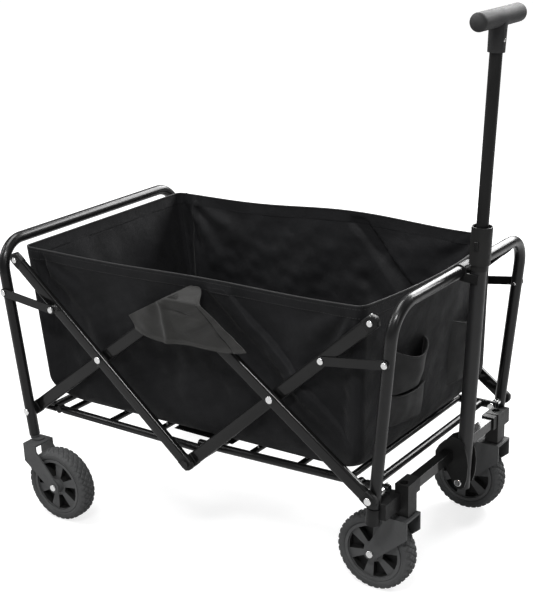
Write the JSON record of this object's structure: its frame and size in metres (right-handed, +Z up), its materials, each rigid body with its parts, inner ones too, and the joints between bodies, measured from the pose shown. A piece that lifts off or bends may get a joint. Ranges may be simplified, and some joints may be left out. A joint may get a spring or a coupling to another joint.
{
  "type": "folding camp wagon",
  "caption": "Folding camp wagon with leaning tube end frames, crossed side bars, ladder floor, open black cloth basket, four casters and a telescopic pull handle.",
  "frame": {"origin": "centre of the overall box, at the floor under the wheels", "axes": "+X to the pull handle, +Y to the left side, +Z up"},
  "size_m": [0.9504, 0.626, 1.0172],
  "materials": {
    "frame_paint": "gloss black powder coat",
    "fork_paint": "satin dark grey",
    "zinc": "bright zinc",
    "black_plastic": "satin black",
    "grip_plastic": "fine texture black",
    "rim_plastic": "satin dark grey",
    "tyre": "dull dark grey",
    "basket_cloth": "matt black woven",
    "flap_cloth": "matt dark grey woven",
    "pocket_cloth": "matt black woven and mesh"
  },
  "bodies": {
    "rear_frame": {"rear_hoop": "frame_paint", "rear_fasteners": "zinc", "rear_forks": "fork_paint", "floor_stubs_rear": "frame_paint", "basket_rear_wall": "basket_cloth", "basket_side_left": "basket_cloth", "basket_side_right": "basket_cloth", "handle_flap_left": "flap_cloth", "handle_flap_right": "flap_cloth"},
    "rear_wheel_left": {"rear_rim_left": "rim_plastic", "rear_tyre_left": "tyre"},
    "rear_wheel_right": {"rear_rim_right": "rim_plastic", "rear_tyre_right": "tyre"},
    "rear_lower_pair": {"rear_lower_bars": "frame_paint", "rear_lower_caps": "black_plastic", "rear_lower_pins": "zinc"},
    "rear_upper_pair": {"rear_upper_bars": "frame_paint", "rear_upper_caps": "black_plastic", "rear_upper_rivets": "zinc", "centre_tube": "frame_paint"},
    "front_lower_pair": {"front_lower_bars": "frame_paint", "front_lower_caps": "black_plastic", "front_lower_pins": "zinc"},
    "front_upper_pair": {"front_upper_bars": "frame_paint", "front_upper_caps": "black_plastic", "front_upper_rivets": "zinc"},
    "rear_link_pair": {"rear_links": "frame_paint", "rear_link_rivets": "zinc"},
    "front_link_pair": {"front_links": "frame_paint", "front_link_rivets": "zinc"},
    "rear_floor": {"floor_rails_rear": "frame_paint", "floor_slats_rear": "frame_paint", "floor_mat_rear": "basket_cloth"},
    "front_floor": {"floor_rails_front": "frame_paint", "floor_slats_front": "frame_paint", "floor_mat_front": "basket_cloth"},
    "front_frame": {"front_hoop": "frame_paint", "front_fasteners": "zinc", "front_cross_tube": "frame_paint", "caster_housings": "black_plastic", "handle_bracket": "frame_paint", "handle_clip": "black_plastic", "floor_stubs_front": "frame_paint", "basket_front_wall": "basket_cloth", "cup_pocket": "pocket_cloth", "mesh_pocket": "pocket_cloth"},
    "front_caster_left": {"front_fork_left": "fork_paint", "front_axle_left": "zinc"},
    "front_caster_right": {"front_fork_right": "fork_paint", "front_axle_right": "zinc"},
    "front_wheel_left": {"front_rim_left": "rim_plastic", "front_tyre_left": "tyre"},
    "front_wheel_right": {"front_rim_right": "rim_plastic", "front_tyre_right": "tyre"},
    "handle": {"handle_tube": "frame_paint", "handle_collar": "black_plastic"},
    "upper_handle": {"upper_tube": "frame_paint", "grip": "grip_plastic", "grip_screw": "zinc"},
    "button": {"lock_button": "black_plastic"}
  },
  "joints": [
    {"name": "fold", "type": "hinge", "parent": "rear_frame", "child": "rear_lower_pair", "pos_m": [-0.4276, 0, 0.219], "axis": [0, -1, 0], "range_deg": [0, 49.08], "deforming": ["basket_side_left", "basket_side_right", "handle_flap_left", "handle_flap_right"]},
    {"name": "rear_upper_turn", "type": "hinge", "parent": "rear_lower_pair", "child": "rear_upper_pair", "pos_m": [-0.2276, 0, 0.367], "axis": [0, 1, 0], "range_deg": [0, 82.29]},
    {"name": "front_lower_turn", "type": "hinge", "parent": "rear_lower_pair", "child": "front_lower_pair", "pos_m": [-0.0276, 0, 0.515], "axis": [0, 1, 0], "range_deg": [0, 86.17]},
    {"name": "front_upper_turn", "type": "hinge", "parent": "front_lower_pair", "child": "front_upper_pair", "pos_m": [0.1724, 0, 0.367], "axis": [0, -1, 0], "range_deg": [0, 82.29]},
    {"name": "front_frame_turn", "type": "hinge", "parent": "front_lower_pair", "child": "front_frame", "pos_m": [0.3724, 0, 0.219], "axis": [0, -1, 0], "range_deg": [0, 49.09]},
    {"name": "rear_link_turn", "type": "hinge", "parent": "rear_frame", "child": "rear_link_pair", "pos_m": [-0.45409, 0, 0.471], "axis": [0, -1, 0], "range_deg": [0, 93.02]},
    {"name": "front_link_turn", "type": "hinge", "parent": "front_frame", "child": "front_link_pair", "pos_m": [0.39889, 0, 0.471], "axis": [0, 1, 0], "range_deg": [0, 93.02]},
    {"name": "rear_floor_turn", "type": "hinge", "parent": "rear_frame", "child": "rear_floor", "pos_m": [-0.3776, 0, 0.219], "axis": [0, -1, 0], "range_deg": [0, 95.51]},
    {"name": "front_floor_turn", "type": "hinge", "parent": "front_frame", "child": "front_floor", "pos_m": [0.3224, 0, 0.219], "axis": [0, 1, 0], "range_deg": [0, 95.51]},
    {"name": "rear_wheel_left_spin", "type": "hinge", "parent": "rear_frame", "child": "rear_wheel_left", "pos_m": [-0.3496, 0.283, 0.076], "axis": [0, 1, 0], "continuous": true},
    {"name": "rear_wheel_right_spin", "type": "hinge", "parent": "rear_frame", "child": "rear_wheel_right", "pos_m": [-0.3496, -0.283, 0.076], "axis": [0, 1, 0], "continuous": true},
    {"name": "front_caster_left_swivel", "type": "hinge", "parent": "front_frame", "child": "front_caster_left", "pos_m": [0.3934, 0.187, 0.17], "axis": [0, 0, 1], "continuous": true},
    {"name": "front_caster_right_swivel", "type": "hinge", "parent": "front_frame", "child": "front_caster_right", "pos_m": [0.3934, -0.187, 0.17], "axis": [0, 0, 1], "continuous": true},
    {"name": "front_wheel_left_spin", "type": "hinge", "parent": "front_caster_left", "child": "front_wheel_left", "pos_m": [0.3384, 0.187, 0.076], "axis": [0, 1, 0], "continuous": true},
    {"name": "front_wheel_right_spin", "type": "hinge", "parent": "front_caster_right", "child": "front_wheel_right", "pos_m": [0.3384, -0.187, 0.076], "axis": [0, 1, 0], "continuous": true},
    {"name": "handle_tilt", "type": "hinge", "parent": "front_frame", "child": "handle", "pos_m": [0.4159, 0, 0.157], "axis": [0, 1, 0], "range_deg": [0, 92]},
    {"name": "handle_slide", "type": "slide", "parent": "handle", "child": "upper_handle", "axis": [0.0541, 0, 0.9985], "range_m": [-0.295, 0]},
    {"name": "button_press", "type": "slide", "parent": "handle", "child": "button", "axis": [0, 1, 0], "range_m": [0, 0.003], "stiffness_N_per_m": 200, "springref_m": -0.001}
  ],
  "couplings": [
    {"joint": "rear_upper_turn", "follows": "fold", "ratio": 1.6765},
    {"joint": "front_lower_turn", "follows": "fold", "ratio": 1.7555},
    {"joint": "front_upper_turn", "follows": "fold", "ratio": 1.6765},
    {"joint": "front_frame_turn", "follows": "fold", "ratio": 1},
    {"joint": "rear_link_turn", "follows": "fold", "ratio": 1.8951},
    {"joint": "front_link_turn", "follows": "fold", "ratio": 1.8951},
    {"joint": "rear_floor_turn", "follows": "fold", "ratio": 1.9459},
    {"joint": "front_floor_turn", "follows": "fold", "ratio": 1.9459}
  ]
}
